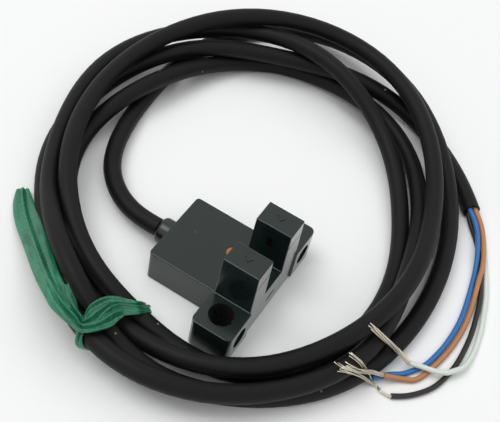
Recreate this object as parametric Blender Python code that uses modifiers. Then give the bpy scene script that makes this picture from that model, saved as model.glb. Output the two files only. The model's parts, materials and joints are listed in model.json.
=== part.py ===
"""Slotted optical switch with a moulded-in cable, built as separate pieces.

Lengths below are in millimetres and are turned into metres where a mesh is made.
X runs along the two mounting flanges, +Y points to the cable side, +Z is up.
The origin is the centre of the underside of the sensor, cable left out.
"""

import math

import bmesh
import bpy
from mathutils import Matrix, Vector

MM = 0.001

# Housing outline
OVERALL_X = 26.0
FRONT_Y = -9.9
PRONG_DEPTH = 6.3
BODY_HALF_X = 6.8
BODY_BACK_Y = 8.2
BODY_HEIGHT = 6.1
FLANGE_STEP = 0.3
FLANGE_CORNER_R = 1.0
BODY_CORNER_R = 0.6
PRONG_TOP_Z = 14.4
SLOT_WIDTH = 5.0
PRONG_DRAFT = 0.12
EDGE_BREAK = 0.13

# Housing inside
WALL = 1.1
ROOF = 1.1
PRONG_WALL = 1.0
PRONG_CAVITY_X = 2.3
PRONG_CAVITY_TOP_Z = 13.3
CLEARANCE = 0.1
FINE_GAP = 0.05

# Mounting holes in the flanges
HOLE_X = 9.6
HOLE_Y = FRONT_Y + 3.3
UPRIGHT_HOLE_D = 4.0
CROSS_HOLE_D = 3.4
CROSS_HOLE_Z = 3.2

# Optical axis
AXIS_Y = FRONT_Y + 3.2
AXIS_Z = 10.9
APERTURE_Y = 1.0
APERTURE_Z = 2.0
MARK_LENGTH = 1.1
MARK_WIDTH = 0.18
MARK_DEPTH = 0.12
MARK_LEAN = math.radians(32)
MARK_GAP = 0.18

# Small surface features
SEAM_Z = 11.5
SEAM_WIDTH = 0.2
SEAM_DEPTH = 0.18
SEAM_OVERRUN = 0.5
FRONT_RECESS_X = 2.4
FRONT_RECESS_Z = 2.85
FRONT_RECESS_HEIGHT = 0.55
FRONT_RECESS_DEPTH = 0.8
PIP_D = 0.5
PIP_DEPTH = 0.12
PIP_Y = FRONT_Y + 1.9
PIP_Z = 9.5
PRONG_INSET = 0.05

# Indicator
LAMP_X = 1.0
LAMP_Y = FRONT_Y + 7.9
LAMP_D = 2.2
LAMP_SHOULDER_D = 3.4
LAMP_PROUD = 0.12
LAMP_FOOT_GAP = 0.9
LAMP_SHOULDER_HEIGHT = 0.8

# Circuit board
BOARD_Z = 1.4
BOARD_THICKNESS = 0.8
BOARD_TOP = BOARD_Z + BOARD_THICKNESS
BOARD_MARGIN = 0.25
BOARD_HALF_X = BODY_HALF_X - WALL - BOARD_MARGIN
BOARD_FRONT_Y = FRONT_Y + WALL + BOARD_MARGIN
BOARD_BACK_Y = BODY_BACK_Y - WALL - 2 * BOARD_MARGIN
COVER_THICKNESS = 0.9
COVER_EDGE_BREAK = 0.1

# Chips on the board: name, X, Y, length, width, height, finish
CHIPS = [
    ("sensor_chip", -2.6, 1.6, 3.0, 3.0, 0.9, "mould"),
    ("output_transistor_1", 3.2, 0.4, 2.8, 1.3, 1.0, "mould"),
    ("output_transistor_2", 3.2, 2.5, 2.8, 1.3, 1.0, "mould"),
    ("chip_resistor_1", -3.6, -1.6, 1.0, 0.5, 0.35, "mould"),
    ("chip_resistor_2", -2.1, -1.6, 1.0, 0.5, 0.35, "mould"),
    ("chip_resistor_3", 3.4, -1.6, 1.0, 0.5, 0.35, "mould"),
    ("chip_capacitor", 0.4, 0.9, 1.6, 0.8, 0.8, "ceramic"),
    ("indicator_led", LAMP_X, LAMP_Y, 1.6, 0.8, 0.55, "clear"),
]

# Light source and light detector, both on two pins
DIODE_LENGTH = 1.4
DIODE_WIDTH = 2.8
DIODE_HEIGHT = 3.4
DIODE_SETBACK = 1.25
LENS_RADIUS = 0.75
LENS_OFFSET = 0.55
PIN_WIDTH = 0.36
PIN_PITCH = 1.4
WINDOW_SETBACK = 0.12

# Cable
CABLE_D = 3.0
CABLE_Z = 3.1
CORE_D = 0.85
WIRE_D = 0.5
GLAND_D = 4.4
GLAND_LENGTH = 2.0
GLAND_SPIGOT_D = 3.5
GLAND_BORE_D = 2.6
GLAND_CHAMFER = 0.35
TUBE_RESOLUTION = 2

# Core tails inside the body
TAIL_PITCH = 0.95
TAIL_MARGIN = 0.2
TAIL_BEND = 0.9
TAIL_REACH = 1.9
TAIL_LENGTH = 2.9
TAIL_LEAN = 0.45

# Centre line of the cable from the gland to the cut end, about 20 degrees of coil apart
CABLE_ROUTE = [
    (0.0, 10.5, 3.1), (0.4, 14.9, 2.6), (1.9, 19.2, 2.4), (5.0, 23.0, 2.1), (9.5, 26.1, 1.9),
    (18.2, 28.7, 1.5), (30.0, 29.5, 1.5), (46.4, 27.4, 1.5), (57.9, 15.6, 1.9), (55.9, -1.6, 4.7),
    (46.6, -14.3, 6.5), (38.1, -23.4, 3.1), (26.4, -28.7, 2.4), (14.5, -30.5, 2.0), (2.7, -29.4, 1.5),
    (-8.5, -24.6, 1.5), (-16.4, -15.5, 1.5), (-21.9, -4.5, 2.9), (-20.0, 6.4, 3.5), (-16.8, 15.7, 9.3),
    (-7.7, 26.2, 4.6), (2.0, 32.5, 4.5), (13.1, 36.6, 5.0), (26.3, 38.0, 4.9), (39.0, 32.0, 4.8),
    (47.0, 20.7, 5.9), (45.6, 6.3, 9.3), (43.1, -5.0, 5.2), (36.5, -13.6, 3.1), (28.0, -19.1, 2.0),
    (19.3, -23.2, 1.5), (9.8, -24.7, 1.5), (-0.2, -23.5, 1.5), (-9.8, -18.4, 1.5), (-15.6, -9.1, 1.5),
    (-14.6, 2.0, 1.5), (-14.1, 11.1, 4.9), (-9.2, 19.7, 4.6), (-2.7, 26.5, 6.4), (6.4, 31.7, 6.8),
    (18.0, 34.6, 6.8), (30.7, 33.4, 7.0), (41.7, 26.9, 9.2), (50.7, 15.5, 9.3), (54.7, 1.2, 7.0),
    (45.7, -12.2, 8.9), (36.8, -20.1, 6.4), (25.6, -24.7, 6.8), (15.2, -26.8, 7.3), (4.7, -26.1, 7.4),
    (-4.7, -21.9, 5.5), (-13.6, -15.1, 5.1), (-18.0, -5.5, 4.2), (-17.5, 5.9, 2.1), (-13.4, 15.7, 1.5),
    (-6.4, 23.2, 1.5), (1.6, 29.5, 2.0), (11.7, 32.3, 2.6), (21.5, 29.6, 5.1), (32.0, 26.5, 3.7),
    (43.3, 20.2, 1.5), (48.3, 8.5, 1.5), (45.8, -5.0, 3.4), (40.9, -14.8, 2.2), (30.9, -21.2, 3.0),
    (20.9, -24.7, 4.1), (11.0, -26.4, 4.1), (-0.5, -27.3, 4.5), (-11.1, -22.1, 4.7), (-20.1, -13.0, 4.7),
    (-24.9, -0.7, 6.4), (-21.6, 11.5, 5.3), (-13.0, 21.0, 1.5), (-5.1, 29.4, 1.5), (4.8, 35.3, 1.5),
    (16.8, 37.0, 1.5), (29.1, 33.5, 3.7), (38.4, 25.6, 5.6), (44.5, 14.9, 4.6), (48.8, 2.3, 5.3),
    (51.2, -10.9, 1.5), (42.8, -23.3, 1.5), (37.7, -28.5, 1.5),
]

# Centre lines of the four cores from the cut jacket to the end of their insulation
CORE_ROUTES = {
    "core_blue": [
        (37.17, -28.33, 1.95), (34.83, -30.64, 1.75), (32.53, -32.14, 1.44), (29.28, -33.53, 1.25),
        (26.19, -34.59, 0.71), (22.14, -35.49, 0.45), (17.27, -36.29, 0.45), (13.52, -36.47, 0.45),
        (10.04, -36.25, 0.45), (7.54, -35.82, 0.45), (5.24, -35.21, 0.45), (2.95, -33.93, 0.45),
        (1.55, -32.89, 0.45), (0.35, -31.41, 0.45), (-0.98, -30.31, 0.60), (-2.38, -29.46, 1.25),
    ],
    "core_brown": [
        (37.88, -29.03, 1.95), (35.88, -31.00, 1.76), (34.22, -32.33, 1.46), (31.79, -33.60, 1.35),
        (29.23, -34.65, 1.37), (26.78, -35.37, 1.42), (24.24, -35.86, 1.25), (21.12, -36.64, 0.54),
        (17.89, -37.20, 0.45), (14.55, -37.45, 0.45), (11.26, -37.35, 0.45), (8.23, -36.96, 0.45),
        (5.42, -36.30, 0.45), (3.44, -35.77, 0.45), (1.72, -34.86, 0.45), (0.75, -33.40, 0.60),
        (-0.21, -32.03, 1.00), (-1.12, -30.78, 1.60),
    ],
    "core_black": [
        (37.17, -28.33, 1.05), (35.14, -29.96, 0.65), (33.13, -31.67, 0.52), (30.56, -33.51, 0.45),
        (27.71, -34.95, 0.45), (24.91, -36.25, 0.45), (21.66, -37.51, 0.45), (18.06, -38.34, 0.45),
        (14.58, -38.93, 0.45), (11.17, -39.18, 0.45), (8.08, -39.15, 0.45), (5.19, -38.72, 0.45),
        (2.49, -37.91, 0.45), (0.26, -36.56, 0.45), (-1.57, -34.90, 0.45), (-2.84, -33.15, 0.45),
    ],
    "core_white": [
        (37.88, -29.03, 1.05), (35.95, -31.60, 0.62), (32.83, -33.57, 0.47), (29.43, -35.19, 0.45),
        (25.14, -37.19, 0.45), (22.25, -38.30, 0.45), (18.77, -39.29, 0.45), (16.45, -39.90, 0.45),
        (11.98, -40.57, 0.45), (8.37, -40.38, 1.00), (6.71, -39.62, 1.38), (5.19, -38.42, 1.41),
        (4.38, -36.74, 1.39), (3.89, -34.92, 1.39), (3.22, -33.10, 1.60),
    ],
}

# Bare tinned wire beyond each core's insulation
WIRE_ROUTES = {
    "wire_end_blue": [
        (-2.58, -29.34, 1.34), (-3.16, -28.25, 3.35), (-4.11, -27.23, 5.80), (-4.31, -25.98, 6.50),
        (-4.19, -24.75, 6.50),
    ],
    "wire_end_brown": [
        (-1.26, -30.59, 1.69), (-2.68, -29.09, 3.10), (-4.86, -27.66, 5.00), (-6.89, -26.10, 7.40),
        (-6.37, -24.38, 6.60),
    ],
    "wire_end_black": [
        (-2.99, -32.95, 0.45), (-2.96, -31.53, 0.40), (-2.59, -30.16, 0.35), (-4.41, -27.90, 3.30),
        (-6.43, -26.28, 5.80), (-7.49, -24.87, 6.40),
    ],
    "wire_end_white": [
        (3.14, -32.87, 1.63), (3.02, -30.71, 3.00), (1.42, -28.14, 6.30), (0.64, -25.18, 8.60),
    ],
}

# Tie: a flat strip from the tip of its long tail once round the bundle to a short tail.
# Each station is the strip's centre, the direction of its width and its width.
TIE_THICKNESS = 0.35
TIE_STEPS = 3
TIE_STATIONS = [
    ((-6.0, 33.2, 0.90), (0.83, 0.55, 0.00), 3.2),
    ((-7.7, 30.8, 1.40), (0.83, 0.55, 0.10), 3.2),
    ((-9.7, 28.1, 2.30), (0.76, 0.50, 0.41), 3.2),
    ((-13.3, 23.3, 3.50), (0.74, 0.49, 0.45), 3.2),
    ((-17.2, 18.4, 5.60), (0.82, 0.54, 0.20), 3.2),
    ((-20.9, 13.9, 8.00), (0.83, 0.55, 0.00), 2.8),
    ((-22.9, 11.2, 8.50), (0.83, 0.55, 0.00), 2.2),
    ((-24.0, 9.3, 8.30), (0.83, 0.55, 0.00), 1.6),
    ((-21.6, 8.6, 7.90), (0.36, 0.94, 0.00), 1.4),
    ((-19.2, 7.7, 7.10), (0.36, 0.94, 0.00), 1.4),
    ((-16.5, 6.7, 6.00), (0.36, 0.94, 0.00), 1.4),
    ((-14.2, 5.8, 5.50), (0.36, 0.94, 0.00), 1.4),
    ((-12.3, 5.1, 3.20), (0.36, 0.94, 0.00), 1.4),
    ((-13.0, 5.3, 0.95), (0.36, 0.94, 0.00), 1.4),
    ((-16.2, 6.6, 0.27), (0.36, 0.94, 0.00), 1.4),
    ((-19.7, 7.9, 0.60), (0.36, 0.94, 0.00), 1.4),
    ((-22.5, 9.0, 1.50), (0.36, 0.94, 0.00), 1.4),
    ((-24.4, 9.7, 3.30), (0.36, 0.94, 0.00), 1.4),
    ((-25.3, 10.0, 5.00), (0.36, 0.94, 0.00), 1.4),
    ((-24.3, 10.7, 6.40), (0.83, 0.55, 0.00), 1.6),
    ((-23.4, 11.7, 7.48), (0.83, 0.55, 0.00), 2.0),
    ((-21.4, 13.3, 7.11), (0.83, 0.55, 0.00), 2.4),
]

COLOURS = {
    "housing": (0.052, 0.058, 0.058, 1.0),
    "cover": (0.045, 0.050, 0.050, 1.0),
    "filter": (0.045, 0.010, 0.012, 1.0),
    "amber": (0.55, 0.20, 0.045, 1.0),
    "board": (0.03, 0.13, 0.06, 1.0),
    "clear": (0.55, 0.60, 0.70, 1.0),
    "smoked": (0.03, 0.03, 0.04, 1.0),
    "tinned": (0.62, 0.62, 0.60, 1.0),
    "mould": (0.012, 0.012, 0.013, 1.0),
    "ceramic": (0.42, 0.33, 0.22, 1.0),
    "jacket": (0.028, 0.028, 0.029, 1.0),
    "blue": (0.02, 0.12, 0.45, 1.0),
    "brown": (0.16, 0.05, 0.02, 1.0),
    "black": (0.012, 0.012, 0.013, 1.0),
    "white": (0.78, 0.78, 0.76, 1.0),
    "tie": (0.06, 0.32, 0.19, 1.0),
}


def clear_scene():
    """Remove every object so that the file starts empty."""
    for obj in list(bpy.data.objects):
        bpy.data.objects.remove(obj, do_unlink=True)


def make_collection(name, hidden=False):
    """Return a new collection linked to the scene."""
    collection = bpy.data.collections.new(name)
    bpy.context.scene.collection.children.link(collection)
    collection.hide_render = hidden
    return collection


def make_material(name, colour, roughness, metallic=0.0):
    """Return a plain Principled material."""
    mat = bpy.data.materials.new(name)
    mat.use_nodes = True
    shader = mat.node_tree.nodes["Principled BSDF"]
    shader.inputs["Base Color"].default_value = colour
    shader.inputs["Roughness"].default_value = roughness
    shader.inputs["Metallic"].default_value = metallic
    mat.diffuse_color = colour
    return mat


def object_from_bmesh(name, bm, collection, mat=None, location=(0, 0, 0)):
    """Turn a bmesh in millimetres into an object placed in metres."""
    bmesh.ops.scale(bm, vec=(MM, MM, MM), verts=bm.verts)
    bmesh.ops.recalc_face_normals(bm, faces=bm.faces)
    mesh = bpy.data.meshes.new(name)
    bm.to_mesh(mesh)
    bm.free()
    obj = bpy.data.objects.new(name, mesh)
    obj.location = Vector(location) * MM
    collection.objects.link(obj)
    if mat is not None:
        mesh.materials.append(mat)
    return obj


def box_bmesh(low, high):
    """Return a bmesh box between two corners."""
    bm = bmesh.new()
    bmesh.ops.create_cube(bm, size=1.0)
    low = Vector(low)
    high = Vector(high)
    bmesh.ops.scale(bm, vec=high - low, verts=bm.verts)
    bmesh.ops.translate(bm, vec=(low + high) / 2, verts=bm.verts)
    return bm


def add_box(name, low, high, collection, mat=None):
    """Add a box between two corners, in millimetres."""
    centre = (Vector(low) + Vector(high)) / 2
    bm = box_bmesh(Vector(low) - centre, Vector(high) - centre)
    return object_from_bmesh(name, bm, collection, mat, centre)


def add_cylinder(name, centre, diameter, length, axis, collection, mat=None, segments=32):
    """Add a cylinder centred on a point and lying along X, Y or Z."""
    bm = bmesh.new()
    radius = diameter / 2
    bmesh.ops.create_cone(
        bm, cap_ends=True, segments=segments, radius1=radius, radius2=radius, depth=length)
    turn = {"X": Matrix.Rotation(math.pi / 2, 4, "Y"),
            "Y": Matrix.Rotation(math.pi / 2, 4, "X"),
            "Z": Matrix.Identity(4)}[axis]
    bmesh.ops.transform(bm, matrix=turn, verts=bm.verts)
    return object_from_bmesh(name, bm, collection, mat, centre)


def rounded_outline(points, steps=4):
    """Round the corners of a plan outline given as (x, y, radius)."""
    outline = []
    count = len(points)
    for i, (x, y, radius) in enumerate(points):
        if radius == 0:
            outline.append((x, y))
            continue
        corner = Vector((x, y))
        before = (Vector(points[i - 1][:2]) - corner).normalized()
        after = (Vector(points[(i + 1) % count][:2]) - corner).normalized()
        centre = corner + (before + after) * radius
        start = math.atan2(*(-after).yx)
        turn = math.atan2(*(-before).yx) - start
        turn = (turn + math.pi) % (2 * math.pi) - math.pi
        for k in range(steps + 1):
            angle = start + turn * k / steps
            outline.append((centre.x + radius * math.cos(angle), centre.y + radius * math.sin(angle)))
    return outline


def add_prism(name, outline, z_low, z_high, collection, mat=None):
    """Add a solid by lifting a plan outline from one height to another."""
    bm = bmesh.new()
    bottom = [bm.verts.new((x, y, z_low)) for x, y in outline]
    top = [bm.verts.new((x, y, z_high)) for x, y in outline]
    count = len(outline)
    bm.faces.new(bottom[::-1])
    bm.faces.new(top)
    for i in range(count):
        j = (i + 1) % count
        bm.faces.new((bottom[i], bottom[j], top[j], top[i]))
    return object_from_bmesh(name, bm, collection, mat)


def add_stack(name, sections, collection, mat=None):
    """Add a solid through rectangles (x0, x1, y0, y1, z), lowest first."""
    bm = bmesh.new()
    rings = []
    for x0, x1, y0, y1, z in sections:
        rings.append([bm.verts.new(p) for p in ((x0, y0, z), (x1, y0, z), (x1, y1, z), (x0, y1, z))])
    bm.faces.new(rings[0][::-1])
    bm.faces.new(rings[-1])
    for low, high in zip(rings, rings[1:]):
        for i in range(4):
            j = (i + 1) % 4
            bm.faces.new((low[i], low[j], high[j], high[i]))
    return object_from_bmesh(name, bm, collection, mat)


def lathe(name, profile, centre, axis, collection, mat, steps=32):
    """Turn a closed profile of (radius, height) pairs about an axis."""
    bm = bmesh.new()
    rings = []
    for k in range(steps):
        angle = 2 * math.pi * k / steps
        rings.append([bm.verts.new((r * math.cos(angle), r * math.sin(angle), h)) for r, h in profile])
    count = len(profile)
    for k in range(steps):
        here = rings[k]
        there = rings[(k + 1) % steps]
        for i in range(count):
            j = (i + 1) % count
            bm.faces.new((here[i], there[i], there[j], here[j]))
    bmesh.ops.remove_doubles(bm, verts=bm.verts, dist=1e-5)
    if axis == "Y":
        bmesh.ops.rotate(bm, cent=(0, 0, 0), matrix=Matrix.Rotation(-math.pi / 2, 3, "X"), verts=bm.verts)
    return object_from_bmesh(name, bm, collection, mat, centre)


def boolean(target, cutters, operation="DIFFERENCE"):
    """Apply exact booleans to a target, one cutter after another."""
    for cutter in cutters:
        mod = target.modifiers.new(cutter.name, "BOOLEAN")
        mod.operation = operation
        mod.solver = "EXACT"
        mod.object = cutter
    apply_modifiers(target)


def apply_modifiers(target):
    """Replace a mesh by its evaluated result."""
    bpy.context.view_layer.update()
    graph = bpy.context.evaluated_depsgraph_get()
    mesh = bpy.data.meshes.new_from_object(target.evaluated_get(graph))
    old = target.data
    target.modifiers.clear()
    target.data = mesh
    mesh.name = target.name
    bpy.data.meshes.remove(old)


def break_edges(target, width, segments=2):
    """Bevel the crisp edges of a solid a little."""
    mod = target.modifiers.new("edge break", "BEVEL")
    mod.width = width * MM
    mod.segments = segments
    mod.limit_method = "ANGLE"
    mod.angle_limit = math.radians(40)
    apply_modifiers(target)


def smooth_by_angle(target, degrees=32):
    """Shade smooth but keep edges sharper than the angle crisp."""
    target.data.shade_smooth()
    target.data.set_sharp_from_angle(angle=math.radians(degrees))


def add_tube(name, route, diameter, collection, mat):
    """Add a solid cord of one diameter along a list of points."""
    curve = bpy.data.curves.new(name, "CURVE")
    curve.dimensions = "3D"
    curve.bevel_depth = diameter / 2 * MM
    curve.bevel_resolution = TUBE_RESOLUTION
    curve.use_fill_caps = True
    spline = curve.splines.new("POLY")
    spline.points.add(len(route) - 1)
    for point, place in zip(spline.points, route):
        point.co = (*(Vector(place) * MM), 1.0)
    obj = bpy.data.objects.new(name, curve)
    collection.objects.link(obj)
    curve.materials.append(mat)
    return obj


def build_housing(parts, cutters, mats):
    """Make the moulded case: body, two flanges, two prongs, hollow inside."""
    half = OVERALL_X / 2
    prong_back = FRONT_Y + PRONG_DEPTH
    flange_front = FRONT_Y - FLANGE_STEP
    flange_back = prong_back + FLANGE_STEP
    right = [
        (BODY_HALF_X, FRONT_Y, 0), (BODY_HALF_X, flange_front, 0),
        (half, flange_front, FLANGE_CORNER_R), (half, flange_back, FLANGE_CORNER_R),
        (BODY_HALF_X, flange_back, 0), (BODY_HALF_X, BODY_BACK_Y, BODY_CORNER_R),
    ]
    left = [(-x, y, r) for x, y, r in reversed(right)]
    housing = add_prism(
        "housing", rounded_outline(right + left), 0, BODY_HEIGHT, parts, mats["housing"])
    inset = PRONG_INSET
    draft = PRONG_DRAFT
    prongs = add_stack("prong block", [
        (-BODY_HALF_X + inset, BODY_HALF_X - inset, FRONT_Y + inset, prong_back - inset, BODY_HEIGHT - 1),
        (-BODY_HALF_X, BODY_HALF_X, FRONT_Y, prong_back, BODY_HEIGHT),
        (-BODY_HALF_X + draft, BODY_HALF_X - draft, FRONT_Y + draft, prong_back - draft, PRONG_TOP_Z),
    ], cutters)
    boolean(housing, [prongs], "UNION")
    slot_half = SLOT_WIDTH / 2
    slot = add_stack("slot", [
        (-slot_half, slot_half, FRONT_Y - 1, prong_back + 1, BODY_HEIGHT),
        (-slot_half - draft, slot_half + draft, FRONT_Y - 1, prong_back + 1, PRONG_TOP_Z + 1),
    ], cutters)
    boolean(housing, [slot])
    break_edges(housing, EDGE_BREAK)

    inner_x = BODY_HALF_X - WALL
    cuts = [add_box(
        "body hollow", (-inner_x, FRONT_Y + WALL, -1),
        (inner_x, BODY_BACK_Y - WALL, BODY_HEIGHT - ROOF), cutters)]
    for side in (-1, 1):
        tag = "far" if side > 0 else "near"
        x_in = side * (slot_half + PRONG_WALL)
        x_out = side * (slot_half + PRONG_WALL + PRONG_CAVITY_X)
        cuts.append(add_box(
            tag + " prong hollow", (min(x_in, x_out), FRONT_Y + WALL, BODY_HEIGHT - ROOF - 1),
            (max(x_in, x_out), FRONT_Y + PRONG_DEPTH - WALL, PRONG_CAVITY_TOP_Z), cutters))
        wall_mid = side * (slot_half + PRONG_WALL / 2)
        cuts.append(add_box(
            tag + " aperture", (wall_mid - 1, AXIS_Y - APERTURE_Y / 2, AXIS_Z - APERTURE_Z / 2),
            (wall_mid + 1, AXIS_Y + APERTURE_Y / 2, AXIS_Z + APERTURE_Z / 2), cutters))
        cuts.append(add_cylinder(
            tag + " upright hole", (side * HOLE_X, HOLE_Y, BODY_HEIGHT / 2),
            UPRIGHT_HOLE_D, BODY_HEIGHT + 2, "Z", cutters))
        cuts.append(add_cylinder(
            tag + " cross hole", (side * HOLE_X, HOLE_Y, CROSS_HOLE_Z),
            CROSS_HOLE_D, PRONG_DEPTH + 4, "Y", cutters, segments=28))
        prong_mid = side * (slot_half + BODY_HALF_X) / 2
        seam_reach = (BODY_HALF_X - slot_half) / 2 + SEAM_OVERRUN
        cuts.append(add_box(
            tag + " seam", (prong_mid - seam_reach, FRONT_Y - 1, SEAM_Z - SEAM_WIDTH / 2),
            (prong_mid + seam_reach, FRONT_Y + SEAM_DEPTH, SEAM_Z + SEAM_WIDTH / 2), cutters))
        for lean in (-1, 1):
            mark = add_box(
                tag + " axis mark", (-MARK_LENGTH / 2, -MARK_WIDTH / 2, -MARK_DEPTH),
                (MARK_LENGTH / 2, MARK_WIDTH / 2, MARK_DEPTH), cutters)
            reach = MARK_LENGTH / 2 * math.sin(MARK_LEAN) + MARK_GAP / 2
            mark.rotation_euler = (0, 0, lean * MARK_LEAN)
            mark.location = Vector((prong_mid, AXIS_Y + lean * reach, PRONG_TOP_Z)) * MM
            cuts.append(mark)
    cuts.append(add_cylinder(
        "indicator hole", (LAMP_X, LAMP_Y, BODY_HEIGHT), LAMP_D, 4, "Z", cutters, segments=28))
    cuts.append(add_cylinder(
        "gland hole", (0, BODY_BACK_Y, CABLE_Z), GLAND_SPIGOT_D + 2 * FINE_GAP, 4, "Y", cutters))
    cuts.append(add_box(
        "front recess",
        (-FRONT_RECESS_X / 2, FRONT_Y - 1, FRONT_RECESS_Z - FRONT_RECESS_HEIGHT / 2),
        (FRONT_RECESS_X / 2, FRONT_Y + FRONT_RECESS_DEPTH, FRONT_RECESS_Z + FRONT_RECESS_HEIGHT / 2),
        cutters))
    cuts.append(add_cylinder(
        "gate pip", (-BODY_HALF_X, PIP_Y, PIP_Z), PIP_D, 2 * PIP_DEPTH, "X", cutters, segments=10))
    boolean(housing, cuts)
    smooth_by_angle(housing)
    return housing


def build_cover(parts, mats):
    """Make the plate that closes the underside of the body."""
    gap = CLEARANCE
    half_x = BODY_HALF_X - WALL - gap
    plate = add_box(
        "base_cover", (-half_x, FRONT_Y + WALL + gap, FINE_GAP),
        (half_x, BODY_BACK_Y - WALL - gap, COVER_THICKNESS), parts, mats["cover"])
    break_edges(plate, COVER_EDGE_BREAK)
    return plate


def build_board(parts, mats):
    """Make the circuit board and the chips soldered on it."""
    add_box("circuit_board", (-BOARD_HALF_X, BOARD_FRONT_Y, BOARD_Z),
            (BOARD_HALF_X, BOARD_BACK_Y, BOARD_TOP), parts, mats["board"])
    seat = BOARD_TOP + FINE_GAP
    for name, x, y, length, width, height, finish in CHIPS:
        add_box(name, (x - length / 2, y - width / 2, seat),
                (x + length / 2, y + width / 2, seat + height), parts, mats[finish])


def build_optics(parts, cutters, mats):
    """Make the light source, the light detector, their pins and their windows."""
    slot_half = SLOT_WIDTH / 2
    cavity_in = slot_half + PRONG_WALL
    for side, name, finish in ((-1, "emitter_led", "clear"), (1, "photo_detector", "smoked")):
        centre_x = side * (cavity_in + DIODE_SETBACK)
        body = add_box(
            name,
            (centre_x - DIODE_LENGTH / 2, AXIS_Y - DIODE_WIDTH / 2, AXIS_Z - DIODE_HEIGHT / 2),
            (centre_x + DIODE_LENGTH / 2, AXIS_Y + DIODE_WIDTH / 2, AXIS_Z + DIODE_HEIGHT / 2),
            parts, mats[finish])
        bm = bmesh.new()
        bmesh.ops.create_uvsphere(bm, u_segments=16, v_segments=8, radius=LENS_RADIUS)
        lens = object_from_bmesh(
            name + " lens", bm, cutters, None, (centre_x - side * LENS_OFFSET, AXIS_Y, AXIS_Z))
        boolean(body, [lens], "UNION")
        smooth_by_angle(body)
        half = PIN_WIDTH / 2
        pin_top = AXIS_Z - DIODE_HEIGHT / 2 - FINE_GAP
        for pin, y in (("front", AXIS_Y - PIN_PITCH / 2), ("back", AXIS_Y + PIN_PITCH / 2)):
            add_box(
                "%s_pin_%s" % (name, pin), (centre_x - half, y - half, BOARD_TOP + FINE_GAP),
                (centre_x + half, y + half, pin_top), parts, mats["tinned"])
        window_name = "emitter_window" if side < 0 else "detector_window"
        x_slot = side * (slot_half + WINDOW_SETBACK)
        x_back = side * (cavity_in - FINE_GAP)
        gap = FINE_GAP
        add_box(
            window_name,
            (min(x_slot, x_back), AXIS_Y - APERTURE_Y / 2 + gap, AXIS_Z - APERTURE_Z / 2 + gap),
            (max(x_slot, x_back), AXIS_Y + APERTURE_Y / 2 - gap, AXIS_Z + APERTURE_Z / 2 - gap),
            parts, mats["filter"])


def build_indicator(parts, mats):
    """Make the amber light guide that shows in the roof of the body."""
    gap = FINE_GAP
    radius = LAMP_D / 2 - gap
    shoulder = LAMP_SHOULDER_D / 2
    foot = BOARD_TOP + LAMP_FOOT_GAP
    roof_under = BODY_HEIGHT - ROOF - gap
    profile = [
        (0, foot), (radius, foot), (radius, roof_under - LAMP_SHOULDER_HEIGHT), (shoulder, roof_under - LAMP_SHOULDER_HEIGHT),
        (shoulder, roof_under), (radius, roof_under), (radius, BODY_HEIGHT - FINE_GAP),
        (radius * 0.8, BODY_HEIGHT + LAMP_PROUD * 0.7), (0, BODY_HEIGHT + LAMP_PROUD),
    ]
    lamp = lathe("indicator_window", profile, (LAMP_X, LAMP_Y, 0), "Z", parts, mats["amber"], 24)
    smooth_by_angle(lamp)


def build_gland(parts, mats):
    """Make the round collar that holds the cable in the back wall."""
    outer = GLAND_D / 2
    spigot = GLAND_SPIGOT_D / 2
    bore = GLAND_BORE_D / 2
    inner_end = -WALL
    start = FINE_GAP
    end = GLAND_LENGTH
    profile = [
        (bore, inner_end), (spigot, inner_end), (spigot, start), (outer, start),
        (outer, end - GLAND_CHAMFER), (outer - GLAND_CHAMFER, end), (bore, end),
    ]
    gland = lathe("cable_gland", profile, (0, BODY_BACK_Y, CABLE_Z), "Y", parts, mats["jacket"])
    smooth_by_angle(gland)


def build_inner_cores(parts, mats):
    """Make the four core tails from the gland down to the board."""
    start_y = BODY_BACK_Y + GLAND_LENGTH - TAIL_MARGIN
    wall_y = BODY_BACK_Y - WALL - TAIL_MARGIN
    rest_z = BOARD_TOP + CORE_D / 2 + FINE_GAP
    tails = [("brown", -1, 1, -2.4), ("black", -1, -1, -0.9), ("blue", 1, -1, 0.9), ("white", 1, 1, 2.4)]
    for colour, across, up, pad_x in tails:
        x = across * TAIL_PITCH / 2
        z = CABLE_Z + up * TAIL_PITCH / 2
        route = [
            (x, start_y, z), (x, BODY_BACK_Y, z), (x, wall_y, z),
            (x + (pad_x - x) * TAIL_LEAN, wall_y - TAIL_BEND, max(z, rest_z)),
            (pad_x, wall_y - TAIL_REACH, rest_z), (pad_x, wall_y - TAIL_LENGTH, rest_z),
        ]
        add_tube("inner_core_" + colour, route, CORE_D, parts, mats[colour])


def build_cable(parts, mats):
    """Make the jacketed cable, its four cores and their bare ends."""
    add_tube("cable_jacket", CABLE_ROUTE, CABLE_D, parts, mats["jacket"])
    for name, route in CORE_ROUTES.items():
        add_tube(name, route, CORE_D, parts, mats[name.split("_")[1]])
    for name, route in WIRE_ROUTES.items():
        add_tube(name, route, WIRE_D, parts, mats["tinned"])


def smooth_between(points, steps):
    """Return a smooth run of vectors, or of numbers, through the given ones."""
    run = []
    last = len(points) - 1
    for i in range(last):
        p0 = points[max(i - 1, 0)]
        p1 = points[i]
        p2 = points[i + 1]
        p3 = points[min(i + 2, last)]
        for k in range(steps):
            t = k / steps
            run.append(0.5 * (2 * p1 + (p2 - p0) * t + (2 * p0 - 5 * p1 + 4 * p2 - p3) * t ** 2
                              + (3 * p1 - p0 - 3 * p2 + p3) * t ** 3))
    run.append(points[last])
    return run


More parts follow.
